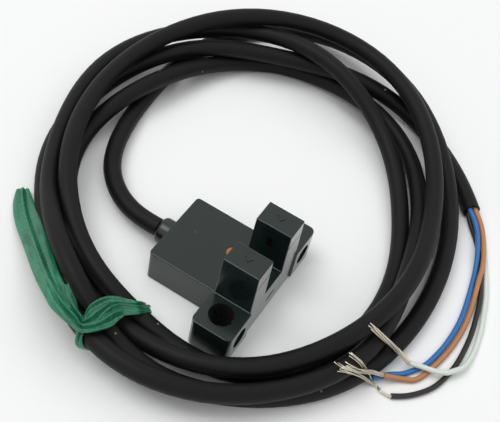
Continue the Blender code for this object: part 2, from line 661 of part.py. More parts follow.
def build_tie(parts, mats):
    """Make the flat strip that holds the coil together."""
    centres = smooth_between([Vector(c) for c, _, _ in TIE_STATIONS], TIE_STEPS)
    across = smooth_between([Vector(a).normalized() for _, a, _ in TIE_STATIONS], TIE_STEPS)
    widths = smooth_between([w for _, _, w in TIE_STATIONS], TIE_STEPS)
    bm = bmesh.new()
    rings = []
    last = len(centres) - 1
    for i, (centre, lie, width) in enumerate(zip(centres, across, widths)):
        ahead = (centres[min(i + 1, last)] - centres[max(i - 1, 0)]).normalized()
        side = (lie - ahead * lie.dot(ahead)).normalized() * width / 2
        up = ahead.cross(side).normalized() * TIE_THICKNESS / 2
        corners = (side + up, up - side, -side - up, side - up)
        rings.append([bm.verts.new(centre + c) for c in corners])
    bm.faces.new(rings[0])
    bm.faces.new(rings[-1][::-1])
    for here, there in zip(rings, rings[1:]):
        for i in range(4):
            j = (i + 1) % 4
            bm.faces.new((here[i], here[j], there[j], there[i]))
    object_from_bmesh("cable_tie", bm, parts, mats["tie"])


def main():
    """Build the whole switch."""
    clear_scene()
    parts = make_collection("slotted optical switch")
    cutters = make_collection("cutters", hidden=True)
    roughness = {"housing": 0.62, "cover": 0.6, "filter": 0.2, "amber": 0.25, "board": 0.45,
                 "clear": 0.12, "smoked": 0.15, "tinned": 0.35, "mould": 0.5, "ceramic": 0.55,
                 "jacket": 0.5, "blue": 0.4, "brown": 0.4, "black": 0.4, "white": 0.4, "tie": 0.35}
    mats = {name: make_material(name, colour, roughness[name], 1.0 if name == "tinned" else 0.0)
            for name, colour in COLOURS.items()}
    build_housing(parts, cutters, mats)
    build_cover(parts, mats)
    build_board(parts, mats)
    build_optics(parts, cutters, mats)
    build_indicator(parts, mats)
    build_gland(parts, mats)
    build_inner_cores(parts, mats)
    build_cable(parts, mats)
    build_tie(parts, mats)
    for cutter in cutters.objects:
        cutter.hide_render = True
        cutter.display_type = "WIRE"


main()
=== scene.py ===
"""Looks for a slotted optical switch on a coiled cable.

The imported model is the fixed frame. This script gives every part of it a finish, and adds
the smooth cable, the four cores with their splayed copper strands, the green tie strip, the
rounded collar round the cable and a plain studio. Lengths are in millimetres until a mesh is
made, in the frame of the part: X along the mounting flanges, +Y towards the cable, +Z up.
"""

from __future__ import annotations

import functools
import json
import logging
import math
import random
from dataclasses import dataclass, field
from enum import Enum
from typing import Iterable, Mapping, Sequence, TypeVar

import bmesh
import bpy
from mathutils import Matrix, Quaternion, Vector

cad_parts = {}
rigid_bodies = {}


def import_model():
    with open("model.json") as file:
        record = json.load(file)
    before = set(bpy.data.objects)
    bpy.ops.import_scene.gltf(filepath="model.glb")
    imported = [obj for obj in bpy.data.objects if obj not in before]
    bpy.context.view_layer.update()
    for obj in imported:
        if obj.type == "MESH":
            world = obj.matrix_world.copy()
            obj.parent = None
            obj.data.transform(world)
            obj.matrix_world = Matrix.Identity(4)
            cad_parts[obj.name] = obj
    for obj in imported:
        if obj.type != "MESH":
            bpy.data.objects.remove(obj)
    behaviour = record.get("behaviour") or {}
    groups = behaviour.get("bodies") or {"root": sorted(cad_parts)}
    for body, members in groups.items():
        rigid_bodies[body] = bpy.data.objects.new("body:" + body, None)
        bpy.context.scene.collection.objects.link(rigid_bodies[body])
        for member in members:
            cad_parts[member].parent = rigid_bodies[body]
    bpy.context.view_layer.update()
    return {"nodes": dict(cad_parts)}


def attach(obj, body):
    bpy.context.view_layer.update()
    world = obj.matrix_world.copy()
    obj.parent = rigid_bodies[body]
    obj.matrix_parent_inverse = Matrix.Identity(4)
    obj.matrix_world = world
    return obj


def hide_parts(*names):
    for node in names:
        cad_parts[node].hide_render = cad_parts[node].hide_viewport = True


LOG = logging.getLogger("slotted_switch")

MM = 0.001
BODY = "root"
WHITE = (1.0, 1.0, 1.0, 1.0)
# Edges that turn by more than this stay crisp under smooth shading
SHARP_ANGLE = math.radians(40)
# Points of a turned shape that lie this close, in mm, become one
MERGE_DISTANCE = 0.0001
# The wave texture turns through this many radians over one unit of its scaled coordinates
WAVE_RADIANS = 20.0
# Roughness of the sheen over a plastic, as a share of the plastic's own
SHEEN_SHARE = 0.8

Point = tuple[float, float, float]
Smooth = TypeVar("Smooth", Vector, float)

# Centre line of the cable from the gland to the cut end, about 20 degrees of coil apart
CABLE_ROUTE = [
    (0.0, 10.5, 3.1), (0.4, 14.9, 2.6), (1.9, 19.2, 2.4), (5.0, 23.0, 2.1), (9.5, 26.1, 1.9),
    (18.2, 28.7, 1.5), (30.0, 29.5, 1.5), (46.4, 27.4, 1.5), (57.9, 15.6, 1.9), (55.9, -1.6, 4.7),
    (46.6, -14.3, 6.5), (38.1, -23.4, 3.1), (26.4, -28.7, 2.4), (14.5, -30.5, 2.0), (2.7, -29.4, 1.5),
    (-8.5, -24.6, 1.5), (-16.4, -15.5, 1.5), (-21.9, -4.5, 2.9), (-20.0, 6.4, 3.5), (-16.8, 15.7, 9.3),
    (-7.7, 26.2, 4.6), (2.0, 32.5, 4.5), (13.1, 36.6, 5.0), (26.3, 38.0, 4.9), (39.0, 32.0, 4.8),
    (47.0, 20.7, 5.9), (45.6, 6.3, 9.3), (43.1, -5.0, 5.2), (36.5, -13.6, 3.1), (28.0, -19.1, 2.0),
    (19.3, -23.2, 1.5), (9.8, -24.7, 1.5), (-0.2, -23.5, 1.5), (-9.8, -18.4, 1.5), (-15.6, -9.1, 1.5),
    (-14.6, 2.0, 1.5), (-14.1, 11.1, 4.9), (-9.2, 19.7, 4.6), (-2.7, 26.5, 6.4), (6.4, 31.7, 6.8),
    (18.0, 34.6, 6.8), (30.7, 33.4, 7.0), (41.7, 26.9, 9.2), (50.7, 15.5, 9.3), (54.7, 1.2, 7.0),
    (45.7, -12.2, 8.9), (36.8, -20.1, 6.4), (25.6, -24.7, 6.8), (15.2, -26.8, 7.3), (4.7, -26.1, 7.4),
    (-4.7, -21.9, 5.5), (-13.6, -15.1, 5.1), (-18.0, -5.5, 4.2), (-17.5, 5.9, 2.1), (-13.4, 15.7, 1.5),
    (-6.4, 23.2, 1.5), (1.6, 29.5, 2.0), (11.7, 32.3, 2.6), (21.5, 29.6, 5.1), (32.0, 26.5, 3.7),
    (43.3, 20.2, 1.5), (48.3, 8.5, 1.5), (45.8, -5.0, 3.4), (40.9, -14.8, 2.2), (30.9, -21.2, 3.0),
    (20.9, -24.7, 4.1), (11.0, -26.4, 4.1), (-0.5, -27.3, 4.5), (-11.1, -22.1, 4.7), (-20.1, -13.0, 4.7),
    (-24.9, -0.7, 6.4), (-21.6, 11.5, 5.3), (-13.0, 21.0, 1.5), (-5.1, 29.4, 1.5), (4.8, 35.3, 1.5),
    (16.8, 37.0, 1.5), (29.1, 33.5, 3.7), (38.4, 25.6, 5.6), (44.5, 14.9, 4.6), (48.8, 2.3, 5.3),
    (51.2, -10.9, 1.5), (42.8, -23.3, 1.5), (37.7, -28.5, 1.5),
]

# Centre lines of the four cores from the cut jacket to the end of their insulation
CORE_ROUTES = {
    "core_blue": [
        (37.17, -28.33, 1.95), (34.83, -30.64, 1.75), (32.53, -32.14, 1.44), (29.28, -33.53, 1.25),
        (26.19, -34.59, 0.71), (22.14, -35.49, 0.45), (17.27, -36.29, 0.45), (13.52, -36.47, 0.45),
        (10.04, -36.25, 0.45), (7.54, -35.82, 0.45), (5.24, -35.21, 0.45), (2.95, -33.93, 0.45),
        (1.55, -32.89, 0.45), (0.35, -31.41, 0.45), (-0.98, -30.31, 0.60), (-2.38, -29.46, 1.25),
    ],
    "core_brown": [
        (37.88, -29.03, 1.95), (35.88, -31.00, 1.76), (34.22, -32.33, 1.46), (31.79, -33.60, 1.35),
        (29.23, -34.65, 1.37), (26.78, -35.37, 1.42), (24.24, -35.86, 1.25), (21.12, -36.64, 0.54),
        (17.89, -37.20, 0.45), (14.55, -37.45, 0.45), (11.26, -37.35, 0.45), (8.23, -36.96, 0.45),
        (5.42, -36.30, 0.45), (3.44, -35.77, 0.45), (1.72, -34.86, 0.45), (0.75, -33.40, 0.60),
        (-0.21, -32.03, 1.00), (-1.12, -30.78, 1.60),
    ],
    "core_black": [
        (37.17, -28.33, 1.05), (35.14, -29.96, 0.65), (33.13, -31.67, 0.52), (30.56, -33.51, 0.45),
        (27.71, -34.95, 0.45), (24.91, -36.25, 0.45), (21.66, -37.51, 0.45), (18.06, -38.34, 0.45),
        (14.58, -38.93, 0.45), (11.17, -39.18, 0.45), (8.08, -39.15, 0.45), (5.19, -38.72, 0.45),
        (2.49, -37.91, 0.45), (0.26, -36.56, 0.45), (-1.57, -34.90, 0.45), (-2.84, -33.15, 0.45),
    ],
    "core_white": [
        (37.88, -29.03, 1.05), (35.95, -31.60, 0.62), (32.83, -33.57, 0.47), (29.43, -35.19, 0.45),
        (25.14, -37.19, 0.45), (22.25, -38.30, 0.45), (18.77, -39.29, 0.45), (16.45, -39.90, 0.45),
        (11.98, -40.57, 0.45), (8.37, -40.38, 1.00), (6.71, -39.62, 1.38), (5.19, -38.42, 1.41),
        (4.38, -36.74, 1.39), (3.89, -34.92, 1.39), (3.22, -33.10, 1.60),
    ],
}

# Bare tinned wire beyond each core's insulation
WIRE_ROUTES = {
    "wire_end_blue": [
        (-2.58, -29.34, 1.34), (-3.16, -28.25, 3.35), (-4.11, -27.23, 5.80), (-4.31, -25.98, 6.50),
        (-4.19, -24.75, 6.50),
    ],
    "wire_end_brown": [
        (-1.26, -30.59, 1.69), (-2.68, -29.09, 3.10), (-4.86, -27.66, 5.00), (-6.89, -26.10, 7.40),
        (-6.37, -24.38, 6.60),
    ],
    "wire_end_black": [
        (-2.99, -32.95, 0.45), (-2.96, -31.53, 0.40), (-2.59, -30.16, 0.35), (-4.41, -27.90, 3.30),
        (-6.43, -26.28, 5.80), (-7.49, -24.87, 6.40),
    ],
    "wire_end_white": [
        (3.14, -32.87, 1.63), (3.02, -30.71, 3.00), (1.42, -28.14, 6.30), (0.64, -25.18, 8.60),
    ],
}

# The tie's two lengths of strip: from the tip of the long tail once round the bundle and back
# out beside the knot, and the short tail. Each station is the strip's centre, the direction
# of its width and its width.
TIE_STRIPS = {
    "tie_strip": [
        ((-5.4, 33.3, 0.60), (0.98, -0.22, 0.00), 2.0),
        ((-7.6, 31.4, 0.90), (0.80, -0.60, 0.10), 3.2),
        ((-10.2, 28.6, 1.70), (0.70, -0.65, 0.29), 3.9),
        ((-13.3, 24.8, 3.10), (0.69, -0.60, 0.41), 3.9),
        ((-16.5, 20.9, 4.70), (0.71, -0.62, 0.33), 3.7),
        ((-19.5, 17.2, 6.30), (0.77, -0.60, 0.20), 3.5),
        ((-21.4, 14.5, 7.40), (0.78, -0.62, 0.10), 3.4),
        ((-22.9, 12.2, 8.00), (0.79, -0.62, -0.00), 3.3),
        ((-23.6, 10.3, 8.20), (0.92, -0.40, -0.00), 2.7),
        ((-23.8, 9.0, 8.00), (0.96, -0.27, -0.00), 2.4),
        ((-24.3, 7.5, 8.10), (1.00, 0.05, 0.00), 2.0),
        ((-23.3, 6.8, 8.10), (0.80, 0.60, 0.00), 3.1),
        ((-21.5, 6.7, 7.60), (0.70, 0.72, 0.00), 4.3),
        ((-19.0, 6.7, 6.60), (0.69, 0.72, 0.00), 4.1),
        ((-17.2, 6.3, 5.70), (0.68, 0.73, 0.00), 3.6),
        ((-16.0, 5.2, 5.10), (0.68, 0.74, 0.00), 2.8),
        ((-15.0, 4.3, 4.60), (0.74, 0.68, 0.00), 2.3),
        ((-13.0, 3.7, 2.60), (0.36, 0.94, 0.00), 1.8),
        ((-14.1, 4.1, 0.75), (0.36, 0.94, 0.00), 1.7),
        ((-17.4, 5.1, 0.60), (0.36, 0.94, 0.00), 1.6),
        ((-20.8, 5.6, 1.70), (0.36, 0.94, 0.00), 1.5),
        ((-23.0, 5.9, 3.10), (0.36, 0.94, 0.00), 1.5),
        ((-24.3, 6.4, 4.10), (0.36, 0.94, 0.00), 1.6),
        ((-25.0, 7.0, 5.30), (0.36, 0.94, 0.00), 1.6),
        ((-24.9, 7.4, 6.50), (0.36, 0.94, 0.00), 1.5),
        ((-24.1, 7.6, 7.50), (0.36, 0.94, 0.00), 1.4),
    ],
    "tie_tail": [
        ((-23.4, 9.3, 8.30), (0.83, -0.56, 0.00), 1.0),
        ((-22.4, 10.7, 8.50), (0.81, -0.56, -0.20), 1.6),
        ((-21.2, 12.4, 8.30), (0.89, -0.35, -0.29), 1.6),
        ((-20.0, 13.7, 8.00), (0.93, -0.22, -0.29), 1.1),
    ],
}


def linear(hex_colour: str) -> tuple[float, float, float, float]:
    """Turn an sRGB hex colour into the linear colour that shaders take.

    Args:
        hex_colour: Six hex digits, such as "3E4444".

    Returns:
        Red, green, blue and an alpha of one.
    """
    channels = [int(hex_colour[i:i + 2], 16) / 255 for i in (0, 2, 4)]
    parts = [c / 12.92 if c <= 0.04045 else ((c + 0.055) / 1.055) ** 2.4 for c in channels]
    return (parts[0], parts[1], parts[2], 1.0)


def per_metre(size_mm: float) -> float:
    """Return the texture scale at which one feature of a pattern measures that many mm."""
    return 1.0 / (size_mm * MM)


def add_node(
    tree: bpy.types.NodeTree,
    kind: str,
    settings: Mapping[str | int, object] | None = None,
    links: Mapping[str | int, bpy.types.NodeSocket] | None = None,
) -> bpy.types.Node:
    """Add a shader node and set it up in one go.

    Args:
        tree: The node tree that gets the node.
        kind: The name of the node type.
        settings: Values by input name or number, or by the name of a node property.
        links: Sources by the input that each one feeds.

    Returns:
        The new node.
    """
    node = tree.nodes.new(kind)
    for key, value in (settings or {}).items():
        if isinstance(key, int) or key in node.inputs:
            node.inputs[key].default_value = value
        else:
            setattr(node, key, value)
    for key, source in (links or {}).items():
        tree.links.new(source, node.inputs[key])
    return node


@dataclass(frozen=True)
class Finish:
    """A surface: the real material, how it was made, and what that gives the eye."""

    name: str
    colour: str
    shade: str
    roughness: float
    ior: float = 1.5
    specular: float = 0.5
    metallic: float = 0.0
    transmission: float = 0.0
    patch_mm: float = 6.0
    grain_mm: float = 0.25
    grain_height_mm: float = 0.01
    roughness_swing: float = 0.08
    bloom: float = 0.0
    bloom_ior: float = 1.35

    def material(self) -> bpy.types.Material:
        """Return the material of this finish, made once."""
        return made_material(self)

    def make(self) -> bpy.types.Material:
        """Build the shader: one Principled shader fed by the finish's own pattern.

        Returns:
            The new material.
        """
        mat = bpy.data.materials.new(self.name)
        mat.use_nodes = True
        tree = mat.node_tree
        shader = tree.nodes["Principled BSDF"]
        shader.inputs["IOR"].default_value = self.ior
        shader.inputs["Metallic"].default_value = self.metallic
        shader.inputs["Specular IOR Level"].default_value = self.specular
        shader.inputs["Transmission Weight"].default_value = self.transmission
        shader.inputs["Coat Weight"].default_value = self.bloom
        shader.inputs["Coat IOR"].default_value = self.bloom_ior
        shader.inputs["Coat Roughness"].default_value = self.roughness * SHEEN_SHARE
        mat.diffuse_color = linear(self.colour)
        coords = add_node(tree, "ShaderNodeTexCoord").outputs["Object"]
        self.pattern(tree, shader, coords)
        return mat

    def pattern(
        self, tree: bpy.types.NodeTree, shader: bpy.types.Node, coords: bpy.types.NodeSocket
    ) -> None:
        """Draw soft patches of colour, and a fine grain in roughness and height.

        Args:
            tree: The material's node tree.
            shader: The Principled shader that the pattern feeds.
            coords: Object coordinates, in metres.
        """
        patches = add_node(
            tree, "ShaderNodeTexNoise",
            {"Scale": per_metre(self.patch_mm), "Detail": 4.0, "Roughness": 0.6},
            {"Vector": coords})
        colour = add_node(
            tree, "ShaderNodeMix",
            {"data_type": "RGBA", 6: linear(self.colour), 7: linear(self.shade)},
            {0: patches.outputs["Fac"]})
        grain = add_node(
            tree, "ShaderNodeTexNoise",
            {"Scale": per_metre(self.grain_mm), "Detail": 2.0}, {"Vector": coords})
        rough = add_node(
            tree, "ShaderNodeMapRange",
            {"To Min": self.roughness - self.roughness_swing,
             "To Max": self.roughness + self.roughness_swing},
            {"Value": grain.outputs["Fac"]})
        bump = add_node(
            tree, "ShaderNodeBump",
            {"Strength": 1.0, "Distance": self.grain_height_mm * MM},
            {"Height": grain.outputs["Fac"]})
        tree.links.new(colour.outputs[2], shader.inputs["Base Color"])
        tree.links.new(rough.outputs["Result"], shader.inputs["Roughness"])
        tree.links.new(bump.outputs["Normal"], shader.inputs["Normal"])


@functools.lru_cache(maxsize=None)
def made_material(finish: Finish) -> bpy.types.Material:
    """Make a finish's material the first time that it is asked for."""
    return finish.make()


@dataclass(frozen=True)
class DustyFinish(Finish):
    """A matt plastic with pale specks of dust and faint rubbed patches."""

    dust: str = "8A8A86"
    dust_cell_mm: float = 5.0
    dust_speck_mm: float = 0.22
    dust_core: float = 0.5
    dust_cover: float = 0.8

    def pattern(
        self, tree: bpy.types.NodeTree, shader: bpy.types.Node, coords: bpy.types.NodeSocket
    ) -> None:
        """Draw the grain, then a sparse scatter of specks on top of its colour.

        Args:
            tree: The material's node tree.
            shader: The Principled shader that the pattern feeds.
            coords: Object coordinates, in metres.
        """
        super().pattern(tree, shader, coords)
        below = shader.inputs["Base Color"].links[0].from_socket
        cells = add_node(
            tree, "ShaderNodeTexVoronoi",
            {"Scale": per_metre(self.dust_cell_mm), "Randomness": 1.0}, {"Vector": coords})
        reach = self.dust_speck_mm / self.dust_cell_mm
        specks = add_node(
            tree, "ShaderNodeMapRange",
            {"From Min": reach * self.dust_core, "From Max": reach,
             "To Min": self.dust_cover, "To Max": 0.0},
            {"Value": cells.outputs["Distance"]})
        dusted = add_node(
            tree, "ShaderNodeMix",
            {"data_type": "RGBA", 7: linear(self.dust)},
            {0: specks.outputs["Result"], 6: below})
        tree.links.new(dusted.outputs[2], shader.inputs["Base Color"])


@dataclass(frozen=True)
class HoleShadedFinish(DustyFinish):
    """Dusty moulded plastic, rougher and with painted shade in its two upright screw holes."""

    hole_x: float = 9.6
    hole_y: float = 6.6
    hole_radius: float = 2.05
    hole_top: float = 6.05
    hole_extra_roughness: float = 0.7
    # Painted shade: the near-black colour that stands for the shade deep in the holes
    hole_shade_colour: str = "020202"

    def pattern(
        self, tree: bpy.types.NodeTree, shader: bpy.types.Node, coords: bpy.types.NodeSocket
    ) -> None:
        """Draw the dusty plastic, then paint shade inside both holes: near black, no coat, rougher.

        Args:
            tree: The material's node tree.
            shader: The Principled shader that the pattern feeds.
            coords: Object coordinates, in metres.
        """
        super().pattern(tree, shader, coords)
        plain = shader.inputs["Base Color"].links[0].from_socket
        mirrored = add_node(
            tree, "ShaderNodeVectorMath", {"operation": "ABSOLUTE"}, {0: coords})
        flat = add_node(
            tree, "ShaderNodeVectorMath", {"operation": "MULTIPLY", 1: (1.0, 1.0, 0.0)},
            {0: mirrored.outputs["Vector"]})
        away = add_node(
            tree, "ShaderNodeVectorMath",
            {"operation": "DISTANCE", 1: (self.hole_x * MM, self.hole_y * MM, 0.0)},
            {0: flat.outputs["Vector"]})
        near = add_node(
            tree, "ShaderNodeMath", {"operation": "LESS_THAN", 1: self.hole_radius * MM},
            {0: away.outputs["Value"]})
        height = add_node(tree, "ShaderNodeSeparateXYZ", None, {0: coords})
        below = add_node(
            tree, "ShaderNodeMath", {"operation": "LESS_THAN", 1: self.hole_top * MM},
            {0: height.outputs["Z"]})
        inside = add_node(
            tree, "ShaderNodeMath", {"operation": "MULTIPLY"},
            {0: near.outputs["Value"], 1: below.outputs["Value"]})
        # Painted shade: below the holes' top the colour goes near black and the coat goes
        painted_hole_shade = add_node(
            tree, "ShaderNodeMix", {"data_type": "RGBA", 7: linear(self.hole_shade_colour)},
            {0: inside.outputs["Value"], 6: plain})
        gloss = add_node(
            tree, "ShaderNodeMath", {"operation": "MULTIPLY_ADD", 1: -self.bloom, 2: self.bloom},
            {0: inside.outputs["Value"]})
        tree.links.new(painted_hole_shade.outputs[2], shader.inputs["Base Color"])
        smoother = shader.inputs["Roughness"].links[0].from_socket
        dull = add_node(
            tree, "ShaderNodeMath",
            {"operation": "MULTIPLY_ADD", "use_clamp": True, 1: self.hole_extra_roughness},
            {0: inside.outputs["Value"], 2: smoother})
        tree.links.new(gloss.outputs["Value"], shader.inputs["Coat Weight"])
        tree.links.new(dull.outputs["Value"], shader.inputs["Roughness"])


@dataclass(frozen=True)
class DrawnWire(Finish):
    """Drawn metal: bright, with fine die lines that break up the gloss."""

    metallic: float = 1.0
    patch_mm: float = 0.8
    grain_mm: float = 0.12


@dataclass(frozen=True)
class StripFilm(Finish):
    """Thin plastic film that lets some light through, with dark streaks that all run one way."""

    streak: str = "0E4A34"
    streak_mm: float = 1.1
    streak_stretch: float = 8.0
    streak_turn: float = 50.0
    streak_from: float = 0.46
    streak_to: float = 0.68
    streak_cover: float = 0.75
    gloss: float = 0.25
    gloss_roughness: float = 0.3
    glow: float = 0.25
    glow_reach: Point = (0.3, 1.0, 0.6)
    crease_mm: float = 1.6
    crease_height_mm: float = 0.05

    def pattern(
        self, tree: bpy.types.NodeTree, shader: bpy.types.Node, coords: bpy.types.NodeSocket
    ) -> None:
        """Draw the grain, dark streaks along the strip, and long shallow creases.

        Args:
            tree: The material's node tree.
            shader: The Principled shader that the pattern feeds.
            coords: Object coordinates, in metres.
        """
        super().pattern(tree, shader, coords)
        plain = shader.inputs["Base Color"].links[0].from_socket
        lengthwise = add_node(
            tree, "ShaderNodeMapping",
            {"vector_type": "TEXTURE", "Rotation": (0.0, 0.0, math.radians(self.streak_turn)),
             "Scale": (self.streak_stretch, 1.0, 1.0)},
            {"Vector": coords})
        streaks = add_node(
            tree, "ShaderNodeTexNoise",
            {"Scale": per_metre(self.streak_mm), "Detail": 3.0, "Roughness": 0.6},
            {"Vector": lengthwise.outputs["Vector"]})
        depth = add_node(
            tree, "ShaderNodeMapRange",
            {"From Min": self.streak_from, "From Max": self.streak_to,
             "To Min": 0.0, "To Max": self.streak_cover},
            {"Value": streaks.outputs["Fac"]})
        streaked = add_node(
            tree, "ShaderNodeMix", {"data_type": "RGBA", 7: linear(self.streak)},
            {0: depth.outputs["Result"], 6: plain})
        tree.links.new(streaked.outputs[2], shader.inputs["Base Color"])
        shader.inputs["Subsurface Weight"].default_value = self.glow
        shader.inputs["Subsurface Scale"].default_value = MM
        shader.inputs["Subsurface Radius"].default_value = self.glow_reach
        shader.inputs["Coat Weight"].default_value = self.gloss
        shader.inputs["Coat Roughness"].default_value = self.gloss_roughness
        below = shader.inputs["Normal"].links[0].from_socket
        creases = add_node(
            tree, "ShaderNodeTexNoise",
            {"Scale": per_metre(self.crease_mm), "Detail": 1.0, "Distortion": 0.6},
            {"Vector": coords})
        folds = add_node(
            tree, "ShaderNodeBump",
            {"Strength": 1.0, "Distance": self.crease_height_mm * MM},
            {"Height": creases.outputs["Fac"], "Normal": below})
        tree.links.new(folds.outputs["Normal"], shader.inputs["Normal"])


@dataclass(frozen=True)
class WovenBoard(Finish):
    """Lacquered glass cloth laminate, with its square weave just showing.

    Real threads lie about half a millimetre apart. These are drawn about 3 mm apart, so that
    they show: one radian of the wave covers radian_mm.
    """

    radian_mm: float = 0.5

    def pattern(
        self, tree: bpy.types.NodeTree, shader: bpy.types.Node, coords: bpy.types.NodeSocket
    ) -> None:
        """Draw warp and weft as two crossed bands under the lacquer.

        Args:
            tree: The material's node tree.
            shader: The Principled shader that the pattern feeds.
            coords: Object coordinates, in metres.
        """
        super().pattern(tree, shader, coords)
        below = shader.inputs["Base Color"].links[0].from_socket
        warp, weft = (
            add_node(
                tree, "ShaderNodeTexWave",
                {"bands_direction": axis, "Scale": per_metre(self.radian_mm) / WAVE_RADIANS},
                {"Vector": coords}).outputs["Fac"]
            for axis in ("X", "Y"))
        cloth = add_node(
            tree, "ShaderNodeMath", {"operation": "MULTIPLY"}, {0: warp, 1: weft})
        woven = add_node(
            tree, "ShaderNodeMix", {"data_type": "RGBA", 7: linear(self.shade)},
            {0: cloth.outputs["Value"], 6: below})
        tree.links.new(woven.outputs[2], shader.inputs["Base Color"])


# Glass-filled PBT from a spark-eroded mould: nearly black in itself. What the eye gets is the
# sheen of the white surroundings, dim from above and bright at a low angle to a face.
# Its two screw holes get painted shade, near black.
PBT_MOULDED = HoleShadedFinish(
    "PBT moulded black", "0C1514", "182724", 0.22, ior=1.57, specular=0.23, bloom=0.75,
    patch_mm=2.5, grain_mm=0.3, grain_height_mm=0.008, dust_cell_mm=4.5, dust_speck_mm=0.12)
# The same PBT on the cover plate, from a smoother side of the mould.
PBT_COVER = Finish("PBT moulded cover", "141818", "1C2222", 0.38, ior=1.57, grain_mm=0.4)
# Plasticised PVC, extruded: flat black with a soft bloom and a little dust.
PVC_JACKET = DustyFinish(
    "PVC extruded jacket", "080808", "111211", 0.52, ior=1.5, specular=0.2, patch_mm=9.0,
    grain_mm=0.3, grain_height_mm=0.012, dust_cell_mm=9.0, dust_speck_mm=0.25)
# The same PVC moulded round the cable, a touch glossier.
PVC_GLAND = Finish("PVC moulded gland", "111113", "1A1A1C", 0.26, ior=1.53, grain_mm=0.35)
# Core insulation is thin extruded PVC: plain colour, waxy gloss.
PVC_BLUE = Finish("PVC core blue", "2566A8", "3074B8", 0.36, ior=1.53, patch_mm=4.0)
PVC_BROWN = Finish("PVC core brown", "B07850", "BC855E", 0.4, ior=1.53, patch_mm=4.0)
PVC_BLACK = Finish("PVC core black", "0E0B0A", "171412", 0.36, ior=1.53, patch_mm=4.0)
PVC_WHITE = Finish("PVC core white", "D6DED6", "DEE4DE", 0.4, ior=1.53, patch_mm=4.0)
# Tinned copper, drawn to fine strands: warm grey, brighter where it faces the light.
TINNED_COPPER = DrawnWire("tinned copper drawn", "E8E4D4", "CFC8B4", 0.3)
# Polyethylene film on the tie strip: milky green, lighter where light comes through.
PE_STRIP = StripFilm("polyethylene strip green", "1C6C4E", "2A8262", 0.28, ior=1.51, patch_mm=5.0)
# Polycarbonate light guide, moulded in amber: lets a little light through.
PC_AMBER = Finish(
    "polycarbonate amber", "A8662A", "B87636", 0.25, ior=1.58, transmission=0.15, grain_mm=0.4)
# Acrylic that passes infrared only: nearly black to the eye, with a breath of red.
PMMA_FILTER = Finish("acrylic infrared filter", "140A0B", "0E0707", 0.2, ior=1.49, specular=0.4)
# Epoxy cast round the light source: clear with a faint blue, and sharp highlights.
EPOXY_CLEAR = Finish("epoxy cast clear", "D6DEEA", "C8D2E0", 0.1, ior=1.55, transmission=0.85)
# The same epoxy with a dark dye: almost black and glossy.
EPOXY_SMOKED = Finish("epoxy cast smoked", "1A1A20", "121216", 0.12, ior=1.55, transmission=0.3)
# Epoxy mould compound on chips: flat black, fine stone-like grain.
EPOXY_CHIP = Finish("epoxy chip mould", "1B1B1D", "242426", 0.55, ior=1.55, grain_mm=0.12)
# Barium titanate ceramic, sintered: biscuit brown and chalky.
CERAMIC_SINTERED = Finish("ceramic sintered", "A88A62", "97794F", 0.6, ior=1.6, grain_mm=0.1)
# Glass cloth laminate with green solder lacquer: satin green over a square weave.
FR4_BOARD = WovenBoard("laminate lacquered", "1E6B40", "2A7F4E", 0.35, ior=1.52)
# Matt card under the part: flat white with hardly any gloss.
PAPER_WHITE = Finish(
    "paper matt white", "F8F8F8", "F6F7F8", 0.9, ior=1.45, specular=0.1, patch_mm=40.0,
    grain_mm=0.5, grain_height_mm=0.004, roughness_swing=0.02)


def smooth_run(points: Sequence[Smooth], steps: int) -> list[Smooth]:
    """Pass a smooth line through points, or a smooth change through numbers.

    Args:
        points: The places or values that the line goes through, in order.
        steps: How many short pieces each gap is cut into.

    Returns:
        The points of the line, first and last ones included.
    """
    run: list[Smooth] = []
    last = len(points) - 1
    for i in range(last):
        before, here, there = points[max(i - 1, 0)], points[i], points[i + 1]
        beyond = points[min(i + 2, last)]
        for k in range(steps):
            t = k / steps
            run.append(0.5 * (
                2 * here + (there - before) * t
                + (2 * before - 5 * here + 4 * there - beyond) * t ** 2
                + (3 * here - before - 3 * there + beyond) * t ** 3))
    run.append(points[last])
    return run


def averaged(points: Sequence[Vector], passes: int) -> list[Vector]:
    """Blur a line along itself, its ends held.

    Args:
        points: The points of the line.
        passes: How many times each point moves to the mean of itself and its neighbours.

    Returns:
        The blurred points, which lie a little inside each bend.
    """
    line = [p.copy() for p in points]
    for _ in range(passes):
        inner = [(a + 2 * b + c) / 4 for a, b, c in zip(line, line[1:], line[2:])]
        line = [line[0], *inner, line[-1]]
    return line


def relaxed(points: Sequence[Vector], passes: int) -> list[Vector]:
    """Ease the small kinks out of a line without drawing its bends inwards.

    Args:
        points: The points of the line.
        passes: How hard the line is blurred.

    Returns:
        The eased points, given back what the blur took from the wide bends.
    """
    blurred = averaged(points, passes)
    lost = averaged([p - q for p, q in zip(points, blurred)], passes)
    return [p + q for p, q in zip(blurred, lost)]


def vectors(points: Iterable[Point]) -> list[Vector]:
    """Turn plain points into vectors."""
    return [Vector(p) for p in points]


def ride(piece: bpy.types.Object) -> bpy.types.Object:
    """Let a piece move with the part, and log it.

    Args:
        piece: The new piece.

    Returns:
        The same piece.
    """
    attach(piece, BODY)
    LOG.info("built %s", piece.name)
    return piece


def curve_piece(
    name: str, runs: Sequence[Sequence[Vector]], diameter: float, finish: Finish,
    sides: int = 5, caps: bool = True,
) -> bpy.types.Object:
    """Make round cord along one or more lines.

    Args:
        name: The piece's name.
        runs: Lines in mm.
        diameter: The cord's diameter in mm.
        finish: What the cord is made of.
        sides: The curve's bevel resolution, which sets how round the cord is.
        caps: Whether the ends are closed.

    Returns:
        The curve object, riding on the part.
    """
    curve = bpy.data.curves.new(name, "CURVE")
    curve.dimensions = "3D"
    curve.bevel_depth = diameter / 2 * MM
    curve.bevel_resolution = sides
    curve.use_fill_caps = caps
    for run in runs:
        spline = curve.splines.new("POLY")
        spline.points.add(len(run) - 1)
        spline.use_smooth = True
        for point, place in zip(spline.points, run):
            point.co = (*(place * MM), 1.0)
    curve.materials.append(finish.material())
    piece = bpy.data.objects.new(name, curve)
    bpy.context.scene.collection.objects.link(piece)
    return ride(piece)


